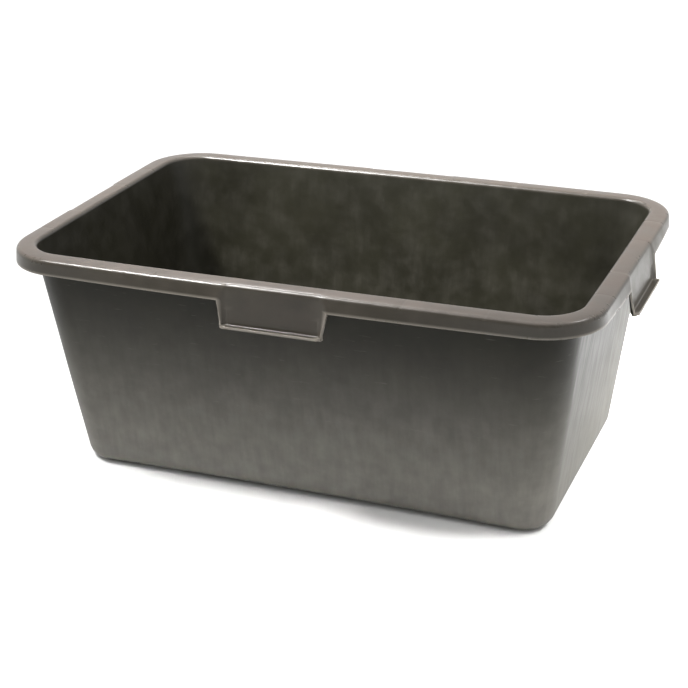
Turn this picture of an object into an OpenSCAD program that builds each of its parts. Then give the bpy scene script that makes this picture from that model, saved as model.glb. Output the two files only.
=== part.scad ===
// Mortar mixing tub: a rectangular black tub moulded in one shot, with leaning walls, a flat rolled rim and
// a lifting grip in the middle of each side. The moulding is drawn as its floor, walls, corners, rim lengths,
// ribs and grips, which meet face to face.
// Millimetres. X runs along the length, Z is up, and the origin is the middle of the underside.

/* [Rim] */
// Length over the outer edge of the rim
rim_length = 770; // [640:5:925]
// Width over the outer edge of the rim
rim_width = 505; // [430:5:610]
// Radius of the rim's outer corners, seen from above
rim_corner_r = 76; // [63:1:92]
// Width of the flat deck, from the outer edge to the inside of the wall
deck_width = 27.5; // [24:0.5:33]
// Height of the down-turned skirt
skirt_depth = 20.5; // [17:0.5:26]
// Lean of the skirt, outwards towards its lower edge, in degrees
skirt_lean = 10; // [2:1:14]
// Radius of the rim's outer edge
outer_edge_r = 4; // [3.5:0.5:5]
// Radius over which the wall turns into the deck
inner_edge_r = 5.5; // [4:0.5:8]

/* [Tub] */
// Height from the underside to the top of the rim
tub_height = 311; // [250:1:380]
// How far the short walls come in from the rim's outer edge, down to the bend into the floor
end_set_in = 61; // [45:1:75]
// How far the long walls come in from the rim's outer edge, down to the bend into the floor
side_set_in = 67.5; // [52:0.5:82]
// Radius of the upright corners at the foot, seen from above
foot_corner_r = 42; // [34:1:56]
// Outside radius of the bend between wall and floor
bend_r = 22; // [12:1:30]
// Thickness of the plastic
wall_t = 3; // [2.4:0.1:3.4]

/* [Grips] */
// Width of the flat panel of a grip
grip_panel_w = 118; // [100:1:140]
// How far each end of a grip runs out past its panel at the rim's outer edge
grip_top_splay = 5.5; // [4:0.5:8]
// How far each end of a grip runs out past its panel level with the skirt's lower edge
grip_mid_splay = 12.5; // [9:0.5:16]
// How far each end of a grip runs out past its panel along the lip
grip_lip_splay = 5; // [4:0.5:8]
// Drop from the top of the rim to the lip
grip_drop = 50; // [40:1:62]
// How far the top of the panel is set back from the rim's outer edge
grip_recess = 1.5; // [1:0.5:3]
// Lean of the panel, outwards towards the lip, in degrees
panel_lean = 7; // [2:1:10]
// Depth of the out-turned lip, square to the panel
grip_lip_d = 9.5; // [7:0.5:14]
// Inside radius between panel and lip
grip_bend_r = 1.5; // [1:0.5:3]

/* [Ribs] */
// Thickness of a rib under the rim
rib_t = 2; // [1.6:0.2:3]
// Height of a rib, down from the top of the rim
rib_depth = 18; // [12:1:20]
// Distance of the middle ribs out past the ends of the grip's panel
rib_past_grip = 2.5; // [2:0.5:3.5]
// Distance of the last rib on a long side from the start of the rim's bend
long_rib_set_in = 48; // [20:1:60]
// Distance of the last rib on a short side from the start of the rim's bend
short_rib_set_in = 35; // [20:1:50]

/* [Hidden] */

$fn = 96;
shell_black = "#3d3b38";
deck_black = "#4a4743";
edge_fn = 48;
edge_steps = 12;
bend_rows = 10;
corner_cols = 24;
slack = 1;

// Turn about Z that brings the section drawn towards +Y round to each side
BACK = 0;
LEFT = 90;
FRONT = 180;
RIGHT = 270;

// Half sizes of the rim and the foot, towards Y and towards X
rim_half_y = rim_width / 2;
rim_half_x = rim_length / 2;
foot_half_y = rim_half_y - side_set_in;
foot_half_x = rim_half_x - end_set_in;

// Centres of the plan corners, at the foot and under the rim
foot_cx = foot_half_x - foot_corner_r;
foot_cy = foot_half_y - foot_corner_r;
rim_cx = rim_half_x - rim_corner_r;
rim_cy = rim_half_y - rim_corner_r;

// The walls end where the rim's inner edge starts to turn, this far in from the rim's outer edge
wall_top = tub_height - inner_edge_r;
top_set_in = deck_width - wall_t;

// Outer lower edge of the skirt: its height, and its distance out from the rim's edge
skirt_z = tub_height - skirt_depth;
skirt_len = (skirt_depth - outer_edge_r + outer_edge_r * sin(skirt_lean)) / cos(skirt_lean);
skirt_out = outer_edge_r * cos(skirt_lean) - outer_edge_r + skirt_len * sin(skirt_lean);

// Heights and depths in a grip, counted out from the rim's edge
edge_z = tub_height - outer_edge_r;
lip_z = tub_height - grip_drop;
panel_run = (edge_z + outer_edge_r * sin(panel_lean) - lip_z) / cos(panel_lean);
strip_in = outer_edge_r + grip_recess + wall_t;
panel_u = grip_panel_w / 2;
notch_u = panel_u + grip_top_splay;
tab_u = panel_u + grip_mid_splay;
lip_u = panel_u + grip_lip_splay;

// ---------- helpers ----------

// Where a line from point p touches the circle of radius r about c, on the outer side
function tangent_point(c, r, p) =
    let (
        d = p - c,
        a = atan2(d[1], d[0]) - acos(r / norm(d))
    )
    c + r * [cos(a), sin(a)];

// Stands a section up: its x runs towards +Y, its y runs up, and it is length long in X
module stand(length) {
    rotate([90, 0, 90])
        linear_extrude(length, center = true)
            children();
}

// Extrudes an elevation, x along X and y up, right through the tub in Y
module through_y() {
    rotate([90, 0, 0])
        linear_extrude(rim_length + rim_width, center = true)
            children();
}

module on_side(turn) {
    rotate([0, 0, turn])
        children();
}

module in_corner(left, front) {
    mirror([left ? 1 : 0, 0, 0])
        mirror([0, front ? 1 : 0, 0])
            children();
}

// ---------- walls and floor ----------

// Solid region inside a side wall: the bend at the foot and the leaning line up to the rim
module side_fill(foot_half, top_half, r) {
    c = [foot_half - bend_r, bend_r];
    p = [top_half, wall_top];
    t = tangent_point(c, r, p);
    above = t + (p - t) * (1 + slack / 100);
    translate(c)
        circle(r);
    polygon([c, t, above, [c[0], above[1]]]);
}

// Section of a side wall, from the floor's edge up to the rim
module wall_section(foot_half, rim_half) {
    top_half = rim_half - top_set_in;
    intersection() {
        difference() {
            side_fill(foot_half, top_half, bend_r);
            side_fill(foot_half, top_half - wall_t, bend_r - wall_t);
        }
        translate([foot_half - bend_r, 0])
            square([rim_half, wall_top]);
    }
}

// Elevation of the stretch of wall between two corners
module between_corners(foot_c, rim_c) {
    polygon([
        [-foot_c, -slack], [foot_c, -slack], [foot_c, bend_r], [rim_c, wall_top], [rim_c, wall_top + slack],
        [-rim_c, wall_top + slack], [-rim_c, wall_top], [-foot_c, bend_r]
    ]);
}

module side_wall(foot_half, rim_half, foot_c, rim_c) {
    color(shell_black)
        intersection() {
            stand(2 * rim_c + slack)
                wall_section(foot_half, rim_half);
            through_y()
                between_corners(foot_c, rim_c);
        }
}

module long_wall() {
    side_wall(foot_half_y, rim_half_y, foot_cx, rim_cx);
}

module short_wall() {
    side_wall(foot_half_x, rim_half_x, foot_cy, rim_cy);
}

// Point of the section of a side wall, inset from its outer face: row 0 is at the floor's edge, the next
// rows go round the bend, and the last two are the ends of the leaning line
function wall_point(foot_half, rim_half, inset, row) =
    let (
        c = [foot_half - bend_r, bend_r],
        r = bend_r - inset,
        p = [rim_half - top_set_in - inset, wall_top],
        a = 90 * row / bend_rows - 90
    )
    row <= bend_rows ? c + r * [cos(a), sin(a)] : row == bend_rows + 1 ? tangent_point(c, r, p) : p;

// Where the middle of a corner's arc is at height z, seen from above
function corner_axis(z) =
    [foot_cx, foot_cy] + [rim_cx - foot_cx, rim_cy - foot_cy] * max(0, z - bend_r) / (wall_top - bend_r);

// Point of a corner's skin, between the section of the short wall at 0 degrees and of the long wall at 90
function corner_point(inset, row, turn) =
    let (
        x_side = wall_point(foot_half_x, rim_half_x, inset, row),
        y_side = wall_point(foot_half_y, rim_half_y, inset, row),
        x_reach = x_side[0] - corner_axis(x_side[1])[0],
        y_reach = y_side[0] - corner_axis(y_side[1])[1],
        z = x_side[1] * pow(cos(turn), 2) + y_side[1] * pow(sin(turn), 2),
        c = corner_axis(z)
    )
    [c[0] + x_reach * cos(turn), c[1] + y_reach * sin(turn), z];

// Two triangles between four corners that run counterclockwise, seen from outside
function quad(a, b, c, d) = [[a, d, c], [a, c, b]];

// Upright corner at the back right: an outer and an inner skin, joined along their edges
module wall_corner() {
    rows = bend_rows + 2;
    outer = [for (i = [0:rows]) [for (j = [0:corner_cols]) i * (corner_cols + 1) + j]];
    inner = [for (line = outer) [for (n = line) n + (rows + 1) * (corner_cols + 1)]];
    color(shell_black)
        polyhedron(
            points = [
                for (inset = [0, wall_t], row = [0:rows], j = [0:corner_cols])
                    corner_point(inset, row, 90 * j / corner_cols)
            ],
            faces = concat(
                [for (i = [1:rows], j = [1:corner_cols])
                    each quad(outer[i - 1][j - 1], outer[i - 1][j], outer[i][j], outer[i][j - 1])],
                [for (i = [1:rows], j = [1:corner_cols])
                    each quad(inner[i - 1][j], inner[i - 1][j - 1], inner[i][j - 1], inner[i][j])],
                [for (j = [1:corner_cols])
                    each quad(outer[0][j - 1], inner[0][j - 1], inner[0][j], outer[0][j])],
                [for (j = [1:corner_cols])
                    each quad(outer[rows][j], inner[rows][j], inner[rows][j - 1], outer[rows][j - 1])],
                [for (i = [1:rows])
                    each quad(outer[i][0], inner[i][0], inner[i - 1][0], outer[i - 1][0])],
                [for (i = [1:rows])
                    each quad(
                        outer[i - 1][corner_cols], inner[i - 1][corner_cols],
                        inner[i][corner_cols], outer[i][corner_cols]
                    )]
            )
        );
}

module floor_panel() {
    color(shell_black)
        linear_extrude(wall_t) {
            square([2 * foot_cx, 2 * (foot_half_y - bend_r)], center = true);
            square([2 * (foot_half_x - bend_r), 2 * foot_cy], center = true);
            for (x = [-foot_cx, foot_cx], y = [-foot_cy, foot_cy])
                translate([x, y])
                    circle(foot_corner_r - bend_r);
        }
}

// ---------- rim ----------

// Solid region under the rim's outer surface, less inset all round, and drawn below further down
module rim_fill(half, inset, below) {
    inner_c = half - deck_width + inner_edge_r;
    outer_c = half - outer_edge_r;
    skirt_top = [outer_c, edge_z] + (outer_edge_r - inset) * [cos(skirt_lean), sin(skirt_lean)];
    run = (skirt_top[1] - skirt_z + below) / cos(skirt_lean);
    skirt_end = skirt_top + run * [sin(skirt_lean), -cos(skirt_lean)];
    translate([inner_c, wall_top])
        circle(inner_edge_r - inset);
    translate([outer_c, edge_z])
        circle(outer_edge_r - inset);
    polygon([
        skirt_end, skirt_top, [outer_c, edge_z], [outer_c, tub_height - inset], [inner_c, tub_height - inset],
        [inner_c, wall_top], [inner_c - inner_edge_r + inset, wall_top],
        [inner_c - inner_edge_r + inset, skirt_end[1]]
    ]);
}

// Section of the rim whose outer edge is at half: rolled inner edge, flat deck, rolled outer edge, skirt
module rim_section(half) {
    difference() {
        rim_fill(half, 0, 0);
        rim_fill(half, wall_t, slack);
        translate([half - deck_width - slack, skirt_z - slack])
            square([wall_t + 2 * slack, wall_top - skirt_z + slack]);
    }
}

// Elevation of the notch that a grip fills in the rim's edge and skirt
module notch_outline() {
    polygon([
        [-notch_u, tub_height + slack], [-notch_u, edge_z], [-tab_u, skirt_z], [-tab_u, skirt_z - skirt_depth],
        [tab_u, skirt_z - skirt_depth], [tab_u, skirt_z], [notch_u, edge_z], [notch_u, tub_height + slack]
    ]);
}

module side_rim(half, between) {
    color(deck_black)
        difference() {
            stand(2 * between)
                rim_section(half);
            translate([0, half - strip_in, 0])
                rotate([90, 0, 180])
                    linear_extrude(2 * strip_in)
                        notch_outline();
        }
}

module long_rim() {
    side_rim(rim_half_y, rim_cx);
}

module short_rim() {
    side_rim(rim_half_x, rim_cy);
}

// Bend of the rim round the back right corner
module rim_bend() {
    color(deck_black)
        translate([rim_cx, rim_cy, 0])
            rotate_extrude(angle = 90)
                rim_section(rim_corner_r);
}

// ---------- ribs ----------

// Section of a rib: it fills the channel between wall and skirt, or between wall and grip panel
module rib_section(foot_half, rim_half, behind_grip) {
    bottom_z = tub_height - rib_depth;
    grip_out = -grip_recess - outer_edge_r;
    top_out = behind_grip ? grip_out : -wall_t / 2;
    low_out = behind_grip ? grip_out : skirt_out - wall_t / 2;
    low_z = behind_grip ? bottom_z : skirt_z;
    difference() {
        intersection() {
            polygon([
                [rim_half - deck_width, low_z], [rim_half + low_out, low_z], [rim_half + top_out, edge_z],
                [rim_half + top_out, tub_height - wall_t], [rim_half - deck_width, tub_height - wall_t]
            ]);
            translate([0, bottom_z])
                square([2 * rim_half, rib_depth]);
        }
        rim_section(rim_half);
        side_fill(foot_half, rim_half - top_set_in, bend_r);
        translate([rim_half - deck_width, wall_top - slack])
            square([wall_t, inner_edge_r]);
    }
}

// Ribs at the given places along a side, with those behind the grip cut short
module side_ribs(foot_half, rim_half, places) {
    color(shell_black)
        for (u = places)
            translate([u, 0, 0])
                stand(rib_t)
                    rib_section(foot_half, rim_half, abs(u) < notch_u);
}

module long_ribs() {
    middle = panel_u + rib_past_grip;
    last = rim_cx - long_rib_set_in;
    side_ribs(foot_half_y, rim_half_y, [for (side = [-1, 1], u = [middle, (middle + last) / 2, last]) side * u]);
}

module short_ribs() {
    middle = panel_u + rib_past_grip;
    last = rim_cy - short_rib_set_in;
    side_ribs(foot_half_x, rim_half_x, [for (side = [-1, 1], u = [middle, last]) side * u]);
}

// ---------- grips ----------

// Points on a round edge or bend of a grip's section
function round_points(c, r, from, to) =
    [for (i = [0:edge_steps]) let (a = from + (to - from) * i / edge_steps) c + r * [cos(a), sin(a)]];

// Point of a grip's section, from its distance out past the middle of the rolled edge, square to the panel,
// and its distance down along the panel
function panel_point(half, out, down) =
    [half - grip_recess - outer_edge_r, edge_z]
    + out * [cos(panel_lean), sin(panel_lean)] + down * [sin(panel_lean), -cos(panel_lean)];

// Section through the middle of a grip: strip of deck, rolled edge, leaning panel, out-turned lip
module grip_section(half) {
    roll = panel_point(half, 0, 0);
    bend = panel_point(half, outer_edge_r + grip_bend_r, panel_run - grip_bend_r);
    polygon(concat(
        [[half - strip_in, tub_height - wall_t]],
        round_points(roll, outer_edge_r - wall_t, 90, panel_lean),
        round_points(bend, grip_bend_r + wall_t, 180 + panel_lean, 270 + panel_lean),
        [panel_point(half, outer_edge_r + grip_lip_d, panel_run + wall_t)],
        [panel_point(half, outer_edge_r + grip_lip_d, panel_run)],
        round_points(bend, grip_bend_r, 270 + panel_lean, 180 + panel_lean),
        round_points(roll, outer_edge_r, panel_lean, 90),
        [[half - strip_in, tub_height]]
    ));
}

// Plate between four points of its front and the four points behind them
module plate(front, behind) {
    polyhedron(
        points = concat(front, behind),
        faces = [[0, 1, 2], [0, 2, 3], [4, 6, 5], [4, 7, 6], [0, 4, 5, 1], [1, 5, 6, 2], [2, 6, 7, 3], [3, 7, 4, 0]]
    );
}

// The end of a grip: the flank that runs out from the panel to the skirt and round the end of the lip
module grip_flank(half) {
    face = half - grip_recess;
    back = [0, -wall_t, 0];
    mid_run = (edge_z + outer_edge_r * sin(panel_lean) - skirt_z) / cos(panel_lean);
    run = [lip_u - panel_u, grip_lip_d];
    tip_in = wall_t * [run[1], -run[0]] / norm(run);
    panel_top = [panel_u, face, edge_z];
    panel_mid = [panel_u, each panel_point(half, outer_edge_r, mid_run)];
    panel_low = [panel_u, each panel_point(half, outer_edge_r, panel_run)];
    skirt_top = [notch_u, half, edge_z];
    skirt_low = [tab_u, half + skirt_out, skirt_z];
    lip_tip = [lip_u, each panel_point(half, outer_edge_r + grip_lip_d, panel_run)];
    lip_in = [lip_u + tip_in[0], each panel_point(half, outer_edge_r + grip_lip_d + tip_in[1], panel_run)];
    lip_end = [panel_u, each panel_point(half, outer_edge_r + grip_lip_d, panel_run)];
    panel_back = [panel_u, each panel_point(half, outer_edge_r - wall_t, panel_run)];
    under = wall_t * [0, sin(panel_lean), -cos(panel_lean)];
    plate(
        [panel_top, panel_mid, skirt_low, skirt_top],
        [panel_top + back, panel_mid + back, skirt_low + back, skirt_top + back]
    );
    plate(
        [panel_mid, panel_low, lip_tip, skirt_low],
        [panel_mid + back, panel_back, lip_in, skirt_low + back]
    );
    plate(
        [panel_back, lip_end, lip_tip, lip_in],
        [panel_back + under, lip_end + under, lip_tip + under, lip_in + under]
    );
    hull() {
        translate([panel_u, face - outer_edge_r, edge_z])
            edge_slice();
        translate([notch_u, half - outer_edge_r, edge_z])
            edge_slice();
        translate([panel_u, face - outer_edge_r - 0.5, tub_height - wall_t])
            cube([notch_u - panel_u, 0.5, wall_t]);
    }
}

// Thin quarter disc of the rim's outer edge
module edge_slice() {
    translate([-0.005, 0, 0])
        rotate([90, 0, 90])
            linear_extrude(0.005)
                intersection() {
                    circle(outer_edge_r, $fn = edge_fn);
                    square(outer_edge_r);
                }
}

module side_grip(half) {
    color(deck_black) {
        stand(grip_panel_w)
            grip_section(half);
        for (flip = [0, 1])
            mirror([flip, 0, 0]) {
                grip_flank(half);
                translate([panel_u, half - strip_in, tub_height - wall_t])
                    cube([notch_u - panel_u, strip_in - grip_recess - outer_edge_r, wall_t]);
            }
    }
}

// ---------- nodes ----------

floor_panel();

on_side(FRONT) long_wall();  // front_wall
on_side(BACK) long_wall();  // back_wall
on_side(LEFT) short_wall();  // left_wall
on_side(RIGHT) short_wall();  // right_wall

in_corner(true, true) wall_corner();  // front_left_corner
in_corner(false, true) wall_corner();  // front_right_corner
in_corner(true, false) wall_corner();  // back_left_corner
in_corner(false, false) wall_corner();  // back_right_corner

on_side(FRONT) long_rim();  // front_rim
on_side(BACK) long_rim();  // back_rim
on_side(LEFT) short_rim();  // left_rim
on_side(RIGHT) short_rim();  // right_rim

in_corner(true, true) rim_bend();  // front_left_rim_bend
in_corner(false, true) rim_bend();  // front_right_rim_bend
in_corner(true, false) rim_bend();  // back_left_rim_bend
in_corner(false, false) rim_bend();  // back_right_rim_bend

on_side(FRONT) long_ribs();  // front_ribs
on_side(BACK) long_ribs();  // back_ribs
on_side(LEFT) short_ribs();  // left_ribs
on_side(RIGHT) short_ribs();  // right_ribs

on_side(FRONT) side_grip(rim_half_y);  // front_grip
on_side(BACK) side_grip(rim_half_y);  // back_grip
on_side(LEFT) side_grip(rim_half_x);  // left_grip
on_side(RIGHT) side_grip(rim_half_x);  // right_grip
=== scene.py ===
import math

import bpy
import numpy as np
from mathutils import Euler, Matrix, Vector


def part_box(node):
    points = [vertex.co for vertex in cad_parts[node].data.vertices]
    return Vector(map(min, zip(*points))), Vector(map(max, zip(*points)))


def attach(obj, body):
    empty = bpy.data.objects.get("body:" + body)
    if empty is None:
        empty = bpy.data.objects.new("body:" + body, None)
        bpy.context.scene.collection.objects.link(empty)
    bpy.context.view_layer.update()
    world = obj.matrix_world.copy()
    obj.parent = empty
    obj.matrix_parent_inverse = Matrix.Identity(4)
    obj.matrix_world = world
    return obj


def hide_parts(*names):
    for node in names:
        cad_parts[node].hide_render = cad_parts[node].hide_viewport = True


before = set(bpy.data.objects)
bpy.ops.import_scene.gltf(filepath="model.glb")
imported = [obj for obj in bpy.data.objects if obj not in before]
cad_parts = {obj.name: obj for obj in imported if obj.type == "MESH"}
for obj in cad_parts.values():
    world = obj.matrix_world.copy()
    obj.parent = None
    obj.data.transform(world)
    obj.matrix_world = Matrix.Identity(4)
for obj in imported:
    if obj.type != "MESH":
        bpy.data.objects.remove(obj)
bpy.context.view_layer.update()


# ---------- the moulding ----------
# The tub is one shot of black polyethylene, 3 mm thick. Floor, walls, rim and grips are drawn as one skin:
# first the side that shows from above, then a modifier adds the thickness. Sizes are in millimetres.

MM = 0.001


def box_mm(name):
    low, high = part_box(name)
    return np.array(low) / MM, np.array(high) / MM


rim_low, rim_high = box_mm("back_rim")
end_high = box_mm("right_rim")[1]
grip_low, grip_high = box_mm("back_grip")
rib_low, rib_high = box_mm("back_ribs")
last_rib = {0: box_mm("right_ribs")[1][1], 1: rib_high[0]}
foot_low = box_mm("back_right_corner")[0]
floor_high = box_mm("floor_panel")[1]

WALL = 3.0
RIB = 2.0
INNER_ROLL = 5.5
OUTER_ROLL = 4.0
BEND = 22.0
SKIRT_LEAN = math.radians(10)
TOP = rim_high[2]
SKIRT_LOW = rim_low[2]
WALL_TOP = TOP - INNER_ROLL
SKIRT_RUN = (TOP - SKIRT_LOW - OUTER_ROLL * (1 - math.sin(SKIRT_LEAN))) / math.cos(SKIRT_LEAN)
SKIRT_OUT = OUTER_ROLL * (math.cos(SKIRT_LEAN) - 1) + SKIRT_RUN * math.sin(SKIRT_LEAN)
RIM_HALF = np.array([end_high[0], rim_high[1]]) - SKIRT_OUT
RIM_TURN = np.array([rim_high[0], end_high[1]])
FOOT_TURN = foot_low[:2]
FLOOR_HALF = floor_high[:2]
DECK = RIM_HALF[1] - rim_low[1]

# The grips: half widths of their outline, and the depths of their leaning panel and their lip
PANEL_LEAN = math.radians(7)
RECESS = 1.5
LIP_BEND = 1.5
TAB_HALF = grip_high[0]
PANEL_HALF = TAB_HALF - 12.5
NOTCH_HALF = PANEL_HALF + 5.5
LIP_HALF = PANEL_HALF + 5.0
CLEAR = 0.2  # the lip's tip stays this far inside the grip's box
SLIP = 0.01  # rounding left in a column's place
EDGE_Z = TOP - OUTER_ROLL
BEND_Z = grip_low[2] + LIP_BEND + WALL
PANEL_DROP = EDGE_Z + (OUTER_ROLL + LIP_BEND) * math.sin(PANEL_LEAN) - BEND_Z
PANEL_RUN = LIP_BEND + PANEL_DROP / math.cos(PANEL_LEAN)
LIP_REACH = grip_high[1] - RIM_HALF[1] + RECESS + OUTER_ROLL - (PANEL_RUN + WALL) * math.sin(PANEL_LEAN)
LIP_DEPTH = LIP_REACH / math.cos(PANEL_LEAN) - OUTER_ROLL - CLEAR


def arc(centre, radius, start, end, steps):
    angles = np.radians(np.linspace(start, end, steps + 1))
    return [(centre[0] + radius * math.cos(a), centre[1] + radius * math.sin(a)) for a in angles]


def lerp(a, b, t):
    return tuple(p + (q - p) * t for p, q in zip(a, b))


def panel_point(out, down):
    """Place on a grip, square out from its panel and down along it, as (distance out, height)."""
    lean = PANEL_LEAN
    return (
        -RECESS - OUTER_ROLL + out * math.cos(lean) + down * math.sin(lean),
        EDGE_Z + out * math.sin(lean) - down * math.cos(lean),
    )


BEND_STEPS, WALL_STEPS = 8, 13


def wall_rows(axis):
    """Inside face of a wall, as (distance out, height): the bend out of the floor, then the leaning wall."""
    centre = (FLOOR_HALF[axis], BEND)
    top = (RIM_HALF[axis] - DECK, WALL_TOP)
    radius = BEND - WALL
    dx, dz = top[0] - centre[0], top[1] - centre[1]
    touch = math.degrees(math.atan2(dz, dx) - math.acos(radius / math.hypot(dx, dz)))
    bend = arc(centre, radius, -90, touch, BEND_STEPS)
    return bend + [lerp(bend[-1], top, i / WALL_STEPS) for i in range(1, WALL_STEPS)]


SOFT_ROLL = 6.0  # radius of the outer roll, which starts from a deck that already slopes a little
SOFT_START = 78  # direction of the roll's first normal, in degrees above level
CROWN = 0.95  # how far the deck falls on its way out to the roll
ROLL_STEPS, DECK_STEPS, SKIRT_STEPS = 6, 5, 4
ROLL_START = ROLL_STEPS + DECK_STEPS  # row of the rim at which the outer roll begins


def edge_roll(edge, lean):
    """The rolled outer edge, from the deck down to a skirt or panel that leans out by some degrees."""
    centre = (edge - SOFT_ROLL, TOP - CROWN - SOFT_ROLL * math.sin(math.radians(SOFT_START)))
    return arc(centre, SOFT_ROLL, SOFT_START, lean, ROLL_STEPS)


def rim_rows(axis, flare):
    """Show face of the rim: rolled inner edge, flat deck, rolled outer edge, and the skirt."""
    half = RIM_HALF[axis]
    inner = arc((half - DECK + INNER_ROLL, WALL_TOP), INNER_ROLL, 180, 90, ROLL_STEPS)
    outer = edge_roll(half, math.degrees(SKIRT_LEAN) * flare)
    deck = []
    for i in range(1, DECK_STEPS):
        out = inner[-1][0] + (outer[0][0] - inner[-1][0]) * i / DECK_STEPS
        deck.append((out, TOP - CROWN * ((i - 1) / (DECK_STEPS - 1)) ** 2))
    low = (half + SKIRT_OUT * flare, SKIRT_LOW)
    skirt = [lerp(outer[-1], low, i / SKIRT_STEPS) for i in range(1, SKIRT_STEPS + 1)]
    return inner + deck + outer + skirt


def grip_rows(axis):
    """The same rows over a grip, whose rolled edge is set back and whose panel leans out."""
    half = RIM_HALF[axis]
    rows = rim_rows(axis, 1.0)[:ROLL_START]
    roll = edge_roll(half - RECESS, math.degrees(PANEL_LEAN))
    mid = (EDGE_Z + OUTER_ROLL * math.sin(PANEL_LEAN) - SKIRT_LOW) / math.cos(PANEL_LEAN)
    out, z = panel_point(OUTER_ROLL, mid)
    panel = [lerp(roll[-1], (half + out, z), i / SKIRT_STEPS) for i in range(1, SKIRT_STEPS + 1)]
    return rows + roll + panel


def flare_at(axis, along):
    """The skirt stands nearly upright round the corners and flares out towards the middle of each side."""
    share = min(1.0, abs(along) / RIM_TURN[1 - axis])
    return 0.3 + 1.15 * (1 - share**2)


WALL_ROWS = [wall_rows(0), wall_rows(1)]
GRIP_ROWS = [grip_rows(0), grip_rows(1)]
FLOOR_RINGS = [0.12, 0.35, 0.6, 0.82, 0.94]


def rib_places(axis):
    """Distances of the ribs from the middle of a side: the first one is at the end of the grip."""
    middle = PANEL_HALF + 2.5
    last = last_rib[axis] - RIB / 2
    return [middle, last] if axis == 0 else [middle, (middle + last) / 2, last]


SINK = 0.2  # how far the deck dips over a rib, where the thicker plastic shrank as it cooled
SINK_HALF = 3.2  # half the width of that dip


def stations(axis):
    """Places of the skin's columns along a side, closest over each rib and at the ends of the grip."""
    ribs = rib_places(axis)
    end = RIM_TURN[1 - axis]
    plain = [0, 13, 26, 38, 49] + list(np.arange(TAB_HALF + 6, end - 4, 12.5))
    places = [u for u in plain if min(abs(u - r) for r in ribs) > 5]
    places += [r + d for r in ribs[1:] for d in (-SINK_HALF, -1.4, 0, 1.4, SINK_HALF)]
    places += [PANEL_HALF, (PANEL_HALF + NOTCH_HALF) / 2, NOTCH_HALF, NOTCH_HALF + 3.5]
    places = sorted(set(round(float(u), 3) for u in places))
    return [-u for u in reversed(places) if u > 0] + places


def axis_at(z):
    """Where the middle of a corner's arc lies at height z, seen from above."""
    return FOOT_TURN + (RIM_TURN - FOOT_TURN) * max(0.0, z - BEND) / (WALL_TOP - BEND)


# Sides in counterclockwise order from the right: (axis of the outward direction, outward sign)
SIDES = [(0, 1), (1, 1), (0, -1), (1, -1)]
CORNER_STEPS = 18


def side_point(side, out, along, z):
    """A point at a distance out from the middle, and a distance along the side, counterclockwise."""
    axis, sign = SIDES[side]
    point = [0.0, 0.0, z]
    point[axis] = sign * out
    point[1 - axis] = along * sign * (1 if axis == 0 else -1)
    return point


def splay(place):
    """How much of the notch's slant a column takes: it grows across the flank, then dies away past it."""
    across = (place - PANEL_HALF) / (NOTCH_HALF - PANEL_HALF)
    past = 1 - (place - NOTCH_HALF) / 14
    return max(0.0, min(across, past, 1.0))


def side_column(side, u):
    """Column of a side at distance u from its middle, from the floor's edge to the skirt's edge."""
    axis = SIDES[side][0]
    on_panel = abs(u) <= PANEL_HALF + SLIP
    on_flank = not on_panel and abs(u) < NOTCH_HALF - SLIP
    end = RIM_TURN[1 - axis]
    nearest_rib = min(abs(abs(u) - r) for r in rib_places(axis))
    dip = SINK * max(0.0, 1 - (nearest_rib / SINK_HALF) ** 2)
    column = []
    for out, z in WALL_ROWS[axis]:
        column.append(side_point(side, out, u * axis_at(z)[1 - axis] / end, z))
    skirt_rows = rim_rows(axis, flare_at(axis, u))
    for row, ((out, z), (grip_out, grip_z)) in enumerate(zip(skirt_rows, GRIP_ROWS[axis])):
        place = abs(u)
        if row >= ROLL_START:
            down = min(1.0, max(0.0, (EDGE_Z - z) / (EDGE_Z - SKIRT_LOW)))
            place += (TAB_HALF - NOTCH_HALF) * down * splay(place)
        if on_panel:
            out, z = grip_out, grip_z
        elif on_flank:
            out, z = (out + grip_out) / 2, (z + grip_z) / 2
        if ROLL_STEPS <= row <= ROLL_START + 3:
            z -= dip
        column.append(side_point(side, out, math.copysign(place, u), z))
    return column


def corner_column(corner, turn):
    """Column of a corner, where turn runs from 0 at its first side to 90 degrees at its next."""
    angle = math.radians(90 * corner + turn)
    share = np.array([abs(math.cos(angle)), abs(math.sin(angle))])
    sign = np.array([1 if corner in (0, 3) else -1, 1 if corner in (0, 1) else -1])
    column = []
    for (x_out, x_z), (y_out, y_z) in zip(*WALL_ROWS):
        z = x_z * share[0] ** 2 + y_z * share[1] ** 2
        reach = np.array([x_out - axis_at(x_z)[0], y_out - axis_at(y_z)[1]]) * share
        column.append([*(sign * (axis_at(z) + reach)), z])
    for out, z in rim_rows(0, flare_at(0, RIM_TURN[1])):
        column.append([*(sign * (RIM_TURN + (out - RIM_TURN[0]) * share)), z])
    return column


PULL_IN = (0.0058, 0.0186)  # share by which the rim's corners pull in along X and Y
ARCH = 3.2  # how far the middle of the foot's long edges rises


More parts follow.
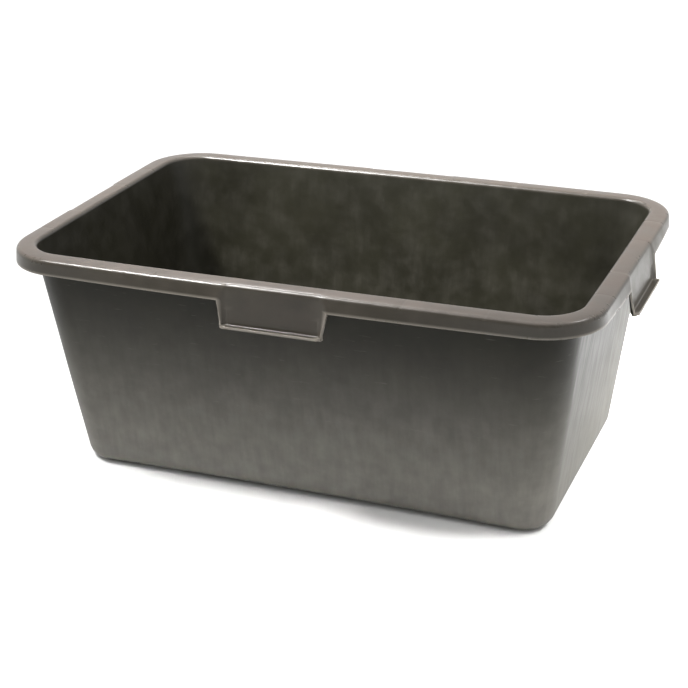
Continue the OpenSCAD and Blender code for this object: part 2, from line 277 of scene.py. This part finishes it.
def settle(points):
    """Sets the shape as a used tub has settled: the corners pull in, the long edges of the foot arch, and the
    walls and the deck ripple a little."""
    p = np.array(points, float)
    x, y, z = p.T.copy()
    up = np.clip(z / TOP, 0, 1)
    swell = np.sin(np.pi * np.clip(z / WALL_TOP, 0, 1))
    p[:, 0] = x * (1 - PULL_IN[0] * (y / RIM_HALF[1]) ** 2 * up**2)
    p[:, 1] = y * (1 - PULL_IN[1] * (x / RIM_HALF[0]) ** 2 * up**2)
    end_ripple = 0.45 * np.sin(y / 53 + 0.4) * np.sin(z / 52 + 1) - 0.6 * (1 - (y / 250) ** 2)
    side_ripple = 0.45 * np.sin(x / 61 + 1.1) * np.sin(z / 47) - 0.9 * (1 - (x / 330) ** 2)
    p[:, 0] += np.sign(x) * swell * end_ripple
    p[:, 1] += np.sign(y) * swell * side_ripple
    p[:, 2] += ARCH * np.clip(1 - (x / 290) ** 2, 0, 1) * np.clip(1 - z / 160, 0, 1) ** 2
    p[:, 2] -= 0.22 * (1 + np.sin(x / 83 + 0.6) * np.cos(y / 71)) * up**6
    return p


# Walk round the tub: each column is a line of points from the floor's edge to the skirt's edge
columns, marks = [], []
for side in range(4):
    for u in stations(SIDES[side][0]):
        columns.append(side_column(side, u))
        marks.append((side, u))
    for step in range(CORNER_STEPS + 1):
        columns.append(corner_column(side, 90 * step / CORNER_STEPS))
        marks.append((side, None))
columns = np.array(columns)
N_COLS, N_ROWS = columns.shape[:2]
N_WALL = len(WALL_ROWS[0])

points, cells = [], []


def add_cell(corners):
    if len(set(corners)) > 2:
        cells.append(list(dict.fromkeys(corners)))


ring_start = []
for share in FLOOR_RINGS:
    ring_start.append(len(points))
    points += [[share * c[0][0], share * c[0][1], c[0][2]] for c in columns]
base = len(points)
points += columns.transpose(1, 0, 2).reshape(-1, 3).tolist()


def at(row, col):
    return base + row * N_COLS + col % N_COLS


cells.append([ring_start[0] + c for c in range(N_COLS)])
rings = ring_start + [base]
for low, high in zip(rings, rings[1:]):
    for c in range(N_COLS):
        n = (c + 1) % N_COLS
        add_cell([low + c, high + c, high + n, low + n])
for row in range(N_ROWS - 1):
    for c in range(N_COLS):
        add_cell([at(row, c), at(row + 1, c), at(row + 1, c + 1), at(row, c + 1)])


def exposure(rim_row):
    """How exposed a row of the rim is to weather and hands: more and more up the inner roll, fully on the deck,
    and less again down the outer roll to the skirt."""
    if rim_row < ROLL_STEPS:
        return rim_row / ROLL_STEPS
    return min(1.0, max(0.3, 1 - (rim_row - ROLL_START - 2) / 3))


exposed = np.zeros(len(points))
for row in range(N_WALL, N_ROWS):
    exposed[base + row * N_COLS : base + (row + 1) * N_COLS] = exposure(row - N_WALL)

# Each grip's panel runs on below the skirt and turns out into a lip, and a flank closes it at each end
DROP_STEPS, TURN_STEPS, LIP_STEPS = 5, 6, 5


def tab_section():
    """Panel below the skirt, bend and lip, as (distance out from the rim's edge, height)."""
    lean = math.degrees(PANEL_LEAN)
    centre = panel_point(OUTER_ROLL + LIP_BEND, PANEL_RUN - LIP_BEND)
    bend = arc(centre, LIP_BEND, 180 + lean, 270 + lean, TURN_STEPS)
    top = (GRIP_ROWS[1][-1][0] - RIM_HALF[1], SKIRT_LOW)
    tip = panel_point(OUTER_ROLL + LIP_DEPTH, PANEL_RUN)
    drop = [lerp(top, bend[0], i / DROP_STEPS) for i in range(1, DROP_STEPS)]
    return drop + bend + [lerp(bend[-1], tip, i / LIP_STEPS) for i in range(1, LIP_STEPS + 1)]


CORNER_DEPTH = 0.4  # share of the lip's depth at which its outer corner begins, and its flank ends


def lip_end(t):
    """How far the lip reaches out past the panel's end line, at depth t: its outer corner is rounded off."""
    round_off = max(0.0, t - CORNER_DEPTH) / (1 - CORNER_DEPTH)
    return LIP_HALF - PANEL_HALF - 3.5 * (1 - math.sqrt(1 - 0.92 * round_off**2))


tab = tab_section()
tab_root, tab_tip = tab[DROP_STEPS - 1][0], tab[-1][0]
depths = [min(1.0, max(0.0, (out - tab_root) / (tab_tip - tab_root))) for out, z in tab]
join = next(k for k, depth in enumerate(depths) if depth > CORNER_DEPTH)


def tab_spot(u, row_half, row_place, flank_edge):
    """A tab's point on its panel, lip or flank, as (distance along the side, distance out, height)."""
    if abs(u) <= PANEL_HALF + SLIP:
        return (u * row_half / PANEL_HALF, *row_place)
    share = 0.5 if abs(u) < NOTCH_HALF - SLIP else 1.0
    along, out, z = lerp((row_half, *row_place), flank_edge, share)
    return (math.copysign(along, u), out, z)


def add_tab(side):
    """Hangs a grip's tab on the lowest row of its side, one row at a time, down and out to the lip's tip."""
    axis = SIDES[side][0]
    cols = [c for c in range(N_COLS) if marks[c][0] == side and marks[c][1] is not None]
    cols = [c for c in cols if abs(marks[c][1]) <= NOTCH_HALF + SLIP]
    skirt_end = (TAB_HALF, SKIRT_OUT * flare_at(axis, TAB_HALF), SKIRT_LOW)
    flank_end = (PANEL_HALF + lip_end(depths[join]), *tab[join])
    above = [at(N_ROWS - 1, c) for c in cols]
    for k, (row_place, depth) in enumerate(zip(tab, depths)):
        row_half = PANEL_HALF + min(1.0, depth * 3) * lip_end(depth)
        flank_edge = lerp(skirt_end, flank_end, min(1.0, (k + 1) / (join + 1)) ** 0.85)
        here = []
        for c in cols:
            u = marks[c][1]
            if k >= join and abs(u) > PANEL_HALF + SLIP:
                here.append(None)
                continue
            along, out, z = tab_spot(u, row_half, row_place, flank_edge)
            points.append(side_point(side, RIM_HALF[axis] + out, along, z))
            here.append(len(points) - 1)
        row = [h for h in here if h is not None]
        ended = here.index(row[0])
        here = [row[0]] * ended + row + [row[-1]] * (len(cols) - ended - len(row))
        for a, b, c, d in zip(above, here, here[1:], above[1:]):
            add_cell([a, b, c, d])
        above = here


for side in range(4):
    add_tab(side)
TAB_EXPOSURE = 0.35
exposed = np.concatenate([exposed, np.full(len(points) - len(exposed), TAB_EXPOSURE)])

skin = bpy.data.meshes.new("moulding_skin")
skin.from_pydata((settle(points) * MM).tolist(), [], cells)
skin.polygons.foreach_set("use_smooth", [True] * len(skin.polygons))
skin.attributes.new("exposed", "FLOAT", "POINT").data.foreach_set("value", exposed.astype(np.float32))
skin.materials.append(None)  # for the show side
skin.materials.append(None)  # for the outside, which the thickness modifier adds
shape = bpy.data.objects.new("moulding_skin", skin)
bpy.context.scene.collection.objects.link(shape)

thick = shape.modifiers.new("thickness", "SOLIDIFY")
thick.thickness = WALL * MM
thick.offset = -1
thick.use_even_offset = True
thick.material_offset = 1
soft = shape.modifiers.new("edges", "BEVEL")
soft.width = 1.2 * MM
soft.segments = 2
soft.limit_method = "ANGLE"
soft.angle_limit = math.radians(19)
soft.use_clamp_overlap = True
flat = shape.modifiers.new("normals", "WEIGHTED_NORMAL")
flat.keep_sharp = False


# ---------- the ribs under the rim ----------
# Thin polyethylene ribs, moulded in one with the wall, the deck and the skirt, keep the rim from folding when
# the full tub is lifted. The two at each grip stop behind its panel. Each plate's edges run into the moulding.


def rib_outline(axis, u):
    """Outline of a rib as (distance out, height), sunk half into the plastic that it joins."""
    half = RIM_HALF[axis]
    low = rib_low[2]
    top_in = half - DECK + WALL / 2
    foot = WALL_ROWS[axis][BEND_STEPS]
    slope = (half - DECK - foot[0]) / (WALL_TOP - foot[1])
    wall_low = top_in - (WALL_TOP - low) * slope
    if u < NOTCH_HALF:
        edge = half - RECESS - WALL + 1
        outer = [(edge + (EDGE_Z - low) * math.tan(PANEL_LEAN), low), (edge, EDGE_Z), (edge, TOP - WALL / 2)]
    else:
        lean = SKIRT_OUT * flare_at(axis, u) / (EDGE_Z - SKIRT_LOW)
        edge = half - WALL / 2
        outer = [(edge + (EDGE_Z - low) * lean, low), (edge, EDGE_Z), (half - OUTER_ROLL, TOP - WALL / 2)]
    return [(wall_low, low)] + outer + [(half - DECK + INNER_ROLL, TOP - WALL / 2), (top_in, WALL_TOP)]


def rib_plate(side, u, sign):
    """The points and faces of one closed plate across the rim's channel."""
    outline = rib_outline(SIDES[side][0], u)
    n = len(outline)
    plate = [side_point(side, out, sign * u + t, z) for t in (-RIB / 2, RIB / 2) for out, z in outline]
    faces = [list(range(n)), list(range(2 * n - 1, n - 1, -1))]
    faces += [[i, i + n, (i + 1) % n + n, (i + 1) % n] for i in range(n)]
    return plate, faces


rib_points, rib_faces = [], []
for side in range(4):
    for u in rib_places(SIDES[side][0]):
        for sign in (-1, 1):
            plate, faces = rib_plate(side, u, sign)
            rib_faces += [[i + len(rib_points) for i in face] for face in faces]
            rib_points += plate
rib_mesh = bpy.data.meshes.new("underside_ribs")
rib_mesh.from_pydata((settle(rib_points) * MM).tolist(), [], rib_faces)
ribs = bpy.data.objects.new("underside_ribs", rib_mesh)
bpy.context.scene.collection.objects.link(ribs)
softened = ribs.modifiers.new("edges", "BEVEL")
softened.width = 0.35 * MM
softened.segments = 2
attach(ribs, "root")
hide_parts("front_ribs", "back_ribs", "left_ribs", "right_ribs")


# ---------- wear, the painted highlight on cut edges, and the finished moulding ---
# Years of shovels, hands and mortar have rubbed the rolled edges and filled the creases. The finished mesh
# carries both as attributes, measured from its curvature, and a third that marks the cut edges for a painted
# highlight.
# It rides as one piece, as the real tub is one piece.

graph = bpy.context.evaluated_depsgraph_get()
final = bpy.data.meshes.new_from_object(shape.evaluated_get(graph), depsgraph=graph)
final.name = "moulding"
bpy.data.objects.remove(shape)
moulding = bpy.data.objects.new("moulding", final)
bpy.context.scene.collection.objects.link(moulding)


def vectors(collection, field):
    """One field of a mesh's points as an array of vectors."""
    values = np.zeros(len(collection) * 3, np.float32)
    collection.foreach_get(field, values)
    return values.reshape(-1, 3)


# How sharply a surface curves where wear is full, in radians per metre: 160 is a radius of about 6 mm
ROLL_CURL, CREASE_CURL = 160, 120
CUT_CURL = (350, 600)  # from no painted highlight to the full painted highlight on a cut edge


def measure_wear_and_edge_highlight(mesh):
    """Adds attributes for rubbed rolls, creases, and the cut edges that get a painted highlight, from how fast
    the normals turn per metre.
    """
    place = vectors(mesh.vertices, "co")
    normal = vectors(mesh.vertices, "normal")
    ends = np.zeros(len(mesh.edges) * 2, np.int32)
    mesh.edges.foreach_get("vertices", ends)
    ends = ends.reshape(-1, 2)
    span = place[ends[:, 1]] - place[ends[:, 0]]
    change = normal[ends[:, 1]] - normal[ends[:, 0]]
    length = np.sqrt(np.maximum((span**2).sum(1), 1e-9))
    curl = np.clip((span * change).sum(1) / length**2, -2000, 2000)
    count = len(mesh.vertices)
    total = np.bincount(ends.ravel(), np.repeat(curl * length, 2), count)
    run = np.bincount(ends.ravel(), np.repeat(length, 2), count)
    mean = total / np.maximum(run, 1e-9)
    tightest = np.zeros(count)
    np.maximum.at(tightest, ends.ravel(), np.repeat(curl, 2))
    cut = (tightest - CUT_CURL[0]) / (CUT_CURL[1] - CUT_CURL[0])
    curvature_masks = {"rubbed": mean / ROLL_CURL, "cut_edge_highlight": cut, "crease": -mean / CREASE_CURL}
    for name, value in curvature_masks.items():
        level = np.clip(value, 0, 1).astype(np.float32)
        mesh.attributes.new(name, "FLOAT", "POINT").data.foreach_set("value", level)


measure_wear_and_edge_highlight(final)
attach(moulding, "root")
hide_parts(*(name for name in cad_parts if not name.endswith("_ribs")))


# ---------- moulded polyethylene ----------
# Black polyethylene with a fine moulded grain. The show side is weathered to a warm grey on the deck, rubbed
# smooth on the rolls and hazed with cement inside. The outside of the walls is scuffed, and paler low down,
# where a grey film is partly dust and partly a painted reflection of the bright floor.


def srgb(code):
    """A colour from its sRGB hex code, as the shader wants it."""
    channels = [int(code[i : i + 2], 16) / 255 for i in (1, 3, 5)]
    return (*[c / 12.92 if c <= 0.04045 else ((c + 0.055) / 1.055) ** 2.4 for c in channels], 1)


def node(tree, kind, inputs=(), output=0, **settings):
    """Adds a node with its settings, sets or links its inputs, in order or by name, and gives one output."""
    made = tree.nodes.new("ShaderNode" + kind)
    for name, value in settings.items():
        setattr(made, name, value)
    for key, value in inputs.items() if isinstance(inputs, dict) else enumerate(inputs):
        if isinstance(value, bpy.types.NodeSocket):
            tree.links.new(value, made.inputs[key])
        else:
            made.inputs[key].default_value = value
    return made.outputs[output] if made.outputs else None


def grain(tree, size, detail=2.0, stretch=(1, 1, 1), seed=0.0):
    """Noise whose blotches are about size millimetres across, drawn out by stretch along X, Y and Z."""
    where = node(tree, "TexCoord", output="Object")
    scale = tuple(1 / (size * MM * s) for s in stretch)
    spot = node(tree, "Mapping", {"Vector": where, "Location": (seed, seed, seed), "Scale": scale})
    return node(tree, "TexNoise", {"Vector": spot, "Scale": 1.0, "Detail": detail, "Roughness": 0.55}, "Fac")


def layer(tree, under, code, *shares):
    """Lays a colour over what is under it, as strong as its shares allow when they are multiplied."""
    strength = shares[0]
    for share in shares[1:]:
        strength = node(tree, "Math", (strength, share), operation="MULTIPLY")
    return node(tree, "Mix", {0: strength, 6: under, 7: srgb(code)}, 2, data_type="RGBA")


def new_material(name):
    """An empty material and its node tree."""
    material = bpy.data.materials.new(name)
    material.use_nodes = True
    material.node_tree.nodes.clear()
    return material, material.node_tree


def finish_plastic(tree, colour, roughness, sheen, bumps):
    """Ends a material: bumps is a list of (height, depth in millimetres), laid over one another."""
    surface = {"Base Color": colour, "Roughness": roughness, "IOR": 1.51, "Specular IOR Level": sheen}
    for texture, depth in bumps:
        relief = {"Height": texture, "Distance": depth * MM, "Strength": 1.0}
        if "Normal" in surface:
            relief["Normal"] = surface["Normal"]
        surface["Normal"] = node(tree, "Bump", relief)
    node(tree, "OutputMaterial", {"Surface": node(tree, "BsdfPrincipled", surface)})


SMOOTH = {"interpolation_type": "SMOOTHSTEP"}


def show_side():
    """Cavity, deck, skirt and grips: a satin black, warm grey on the deck and chalky low in the cavity."""
    material, tree = new_material("moulded black polyethylene, weathered and cement-hazed")
    exposed = node(tree, "Attribute", output="Fac", attribute_name="exposed")
    rubbed = node(tree, "Attribute", output="Fac", attribute_name="rubbed")
    crease = node(tree, "Attribute", output="Fac", attribute_name="crease")
    cut_edge_highlight = node(tree, "Attribute", output="Fac", attribute_name="cut_edge_highlight")
    place = node(tree, "TexCoord", output="Object")
    height = node(tree, "SeparateXYZ", [place], 2)
    cloudy = grain(tree, 90, 4, seed=2.0)
    patchy = grain(tree, 28, 5, seed=7.0)
    runs = grain(tree, 7, 3, (1, 1, 14), seed=4.0)
    fine = grain(tree, 1.4, 2)  # the moulded grain is finer than this, and is drawn coarser so that it shows
    scratch = grain(tree, 2.2, 2, (18, 1, 4), seed=11.0)

    clouds = node(tree, "MapRange", (cloudy, 0.35, 0.65), **SMOOTH)
    base = layer(tree, srgb("#1f1e17"), "#25241c", clouds)
    patches = node(tree, "MapRange", (patchy, 0.3, 0.85), **SMOOTH)
    streaks = node(tree, "MapRange", (runs, 0.3, 0.7, 0.45, 1.0), **SMOOTH)
    low_down = node(tree, "MapRange", (height, 0.02, 0.26, 1.0, 0.35), **SMOOTH)
    sheltered = node(tree, "MapRange", (exposed, 0.0, 0.5, 0.34, 0.15), **SMOOTH)
    blotches = node(tree, "Math", (patches, streaks), operation="MULTIPLY")
    residue = node(tree, "Math", (low_down, sheltered), operation="MULTIPLY")
    haze = node(tree, "Math", (blotches, residue), operation="MULTIPLY")
    hazed = layer(tree, base, "#5f5b53", haze)
    bleached = node(tree, "MapRange", (patchy, 0.25, 0.75, 0.45, 0.75), **SMOOTH)
    weathered = layer(tree, hazed, "#4b3f36", exposed, bleached)
    dusty = layer(tree, weathered, "#77726a", crease, 0.45)
    rubs = node(tree, "MapRange", (scratch, 0.35, 0.7, 0.25, 0.8), **SMOOTH)
    reached = node(tree, "MapRange", (exposed, 0.0, 0.3, 0.3, 1.0), **SMOOTH)
    rubbing = node(tree, "Math", (rubbed, rubs), operation="MULTIPLY")
    worn = node(tree, "Math", (rubbing, reached), operation="MULTIPLY")
    smoothed = layer(tree, dusty, "#5f5952", worn)
    # Painted highlight: a pale grey laid along the cut edges, where the skin turns sharply, stands for the
    # light they catch.
    colour = layer(tree, smoothed, "#a8a196", cut_edge_highlight, 0.32)

    satin = node(tree, "MapRange", (patchy, 0.3, 0.7, 0.28, 0.37), **SMOOTH)
    chalky = node(tree, "Math", (haze, 0.18, satin), operation="MULTIPLY_ADD")
    rough = node(tree, "Math", (worn, -0.2, chalky), operation="MULTIPLY_ADD")
    finish_plastic(tree, colour, rough, 0.45, [(cloudy, 0.25), (fine, 0.035), (scratch, 0.03)])
    return material


def outside():
    """Outer face of the walls, and what is under the rim: a dull black, scuffed, and paler low down, partly
    with dust and partly with a painted reflection of the bright floor.
    """
    material, tree = new_material("moulded black polyethylene, scuffed outside")
    rubbed = node(tree, "Attribute", output="Fac", attribute_name="rubbed")
    cut_edge_highlight = node(tree, "Attribute", output="Fac", attribute_name="cut_edge_highlight")
    place = node(tree, "TexCoord", output="Object")
    height = node(tree, "SeparateXYZ", [place], 2)
    cloudy = grain(tree, 110, 4, seed=5.0)
    patchy = grain(tree, 24, 5, seed=9.0)
    runs = grain(tree, 9, 3, (1, 1, 12), seed=1.0)
    fine = grain(tree, 1.4, 2, seed=3.0)
    scuffs = grain(tree, 3.0, 3, (9, 9, 1), seed=6.0)

    clouds = node(tree, "MapRange", (cloudy, 0.35, 0.65), **SMOOTH)
    base = layer(tree, srgb("#15140d"), "#1d1c14", clouds)
    # Partly painted light: a pale grey film grows towards the floor, standing partly for dust and partly for a
    # painted reflection of the bright floor, which leaves the walls darker under the rim.
    low_down = node(tree, "MapRange", (height, 0.0, 0.3, 1.0, 0.0), **SMOOTH)
    streaks = node(tree, "MapRange", (runs, 0.2, 0.8, 0.82, 1.0), **SMOOTH)
    patches = node(tree, "MapRange", (patchy, 0.2, 0.8, 0.75, 1.0), **SMOOTH)
    low_dust_and_floor_light = node(tree, "Math", (low_down, streaks), operation="MULTIPLY")
    dust_and_floor_light = node(tree, "Math", (low_dust_and_floor_light, patches), operation="MULTIPLY")
    dusted_and_floor_lit = layer(tree, base, "#8b8881", dust_and_floor_light, 0.72)
    marks_made = node(tree, "MapRange", (scuffs, 0.64, 0.78, 0.0, 0.25), **SMOOTH)
    scuffed = layer(tree, dusted_and_floor_lit, "#6e6b65", marks_made)
    worn = layer(tree, scuffed, "#6a665f", rubbed, 0.4)
    # Painted highlight: a pale grey laid along the cut edges, where the skin turns sharply, stands for the
    # light they catch.
    colour = layer(tree, worn, "#a8a196", cut_edge_highlight, 0.32)

    dull = node(tree, "MapRange", (runs, 0.3, 0.7, 0.36, 0.46), **SMOOTH)
    rough = node(tree, "Math", (dust_and_floor_light, 0.15, dull), operation="MULTIPLY_ADD")
    finish_plastic(tree, colour, rough, 0.16, [(cloudy, 0.3), (fine, 0.03), (scuffs, 0.03)])
    return material


outer_material = outside()
final.materials[0] = show_side()
final.materials[1] = outer_material
rib_mesh.materials.append(outer_material)


# ---------- studio ----------
# A pale floor of seamless paper under a wide ceiling bank and a white surround. Two small softboxes to the
# left draw the highlights along the rolled edges, and a third washes the floor beside the right end.

ground = bpy.data.meshes.new("studio_floor")
ground.from_pydata([(-30, -30, 0), (30, -30, 0), (30, 30, 0), (-30, 30, 0)], [], [(0, 1, 2, 3)])
studio_floor = bpy.data.objects.new("studio_floor", ground)
bpy.context.scene.collection.objects.link(studio_floor)


def seamless_paper():
    """Matt white paper with a faint tooth."""
    material, tree = new_material("matt white seamless paper")
    tooth = node(tree, "Bump", {"Height": grain(tree, 0.8, 3), "Distance": 0.05 * MM})
    surface = {"Base Color": srgb("#efefee"), "Roughness": 0.9, "Normal": tooth}
    node(tree, "OutputMaterial", {"Surface": node(tree, "BsdfPrincipled", surface)})
    return material


ground.materials.append(seamless_paper())

world = bpy.data.worlds.new("studio")
bpy.context.scene.world = world
world.use_nodes = True
surround = world.node_tree.nodes["Background"]
direction = node(world.node_tree, "TexCoord", output="Generated")
towards_back = node(world.node_tree, "SeparateXYZ", [direction], 1)
brightness = node(world.node_tree, "MapRange", (towards_back, -0.9, 0.1, 0.4, 1.15), **SMOOTH)
world.node_tree.links.new(brightness, surround.inputs["Strength"])
surround.inputs["Color"].default_value = (1, 1, 1, 1)


def softbox(name, place, aim, size, power, spread=180):
    """A rectangular lamp that points from its place to its aim, with its beam's spread in degrees."""
    light = bpy.data.lights.new(name, "AREA")
    light.shape = "RECTANGLE"
    light.size, light.size_y = size
    light.energy = power
    light.spread = math.radians(spread)
    lamp = bpy.data.objects.new(name, light)
    lamp.location = place
    lamp.rotation_euler = (Vector(aim) - Vector(place)).to_track_quat("-Z", "Y").to_euler()
    bpy.context.scene.collection.objects.link(lamp)


softbox("ceiling_bank", (0.0, 0.4, 3.5), (0.0, 0.4, 0.0), (5.0, 5.0), 95)
softbox("key_front_left", (-0.95, -0.5, 1.9), (0.0, 0.12, 0.2), (0.35, 0.35), 4.8, 32)
softbox("top_back_left", (-0.75, 0.85, 1.8), (0, 0.05, 0.3), (0.25, 0.25), 1.9, 70)
softbox("floor_wash_right", (1.35, 0.25, 1.6), (0.58, 0.38, 0.0), (0.4, 0.4), 5.4, 50)

camera_data = bpy.data.cameras.new("camera")
camera_data.lens = 85.461
camera_data.sensor_width = 36
camera = bpy.data.objects.new("camera", camera_data)
bpy.context.scene.collection.objects.link(camera)
tilt, roll, heading = math.radians(67.0226), math.radians(0.9168), math.radians(21.4098)
camera_place = (0.74315, -1.88278, 0.99921)
camera.matrix_world = Matrix.LocRotScale(camera_place, Euler((tilt, roll, heading)), None)
bpy.context.scene.camera = camera

bpy.context.scene.view_settings.view_transform = "Standard"
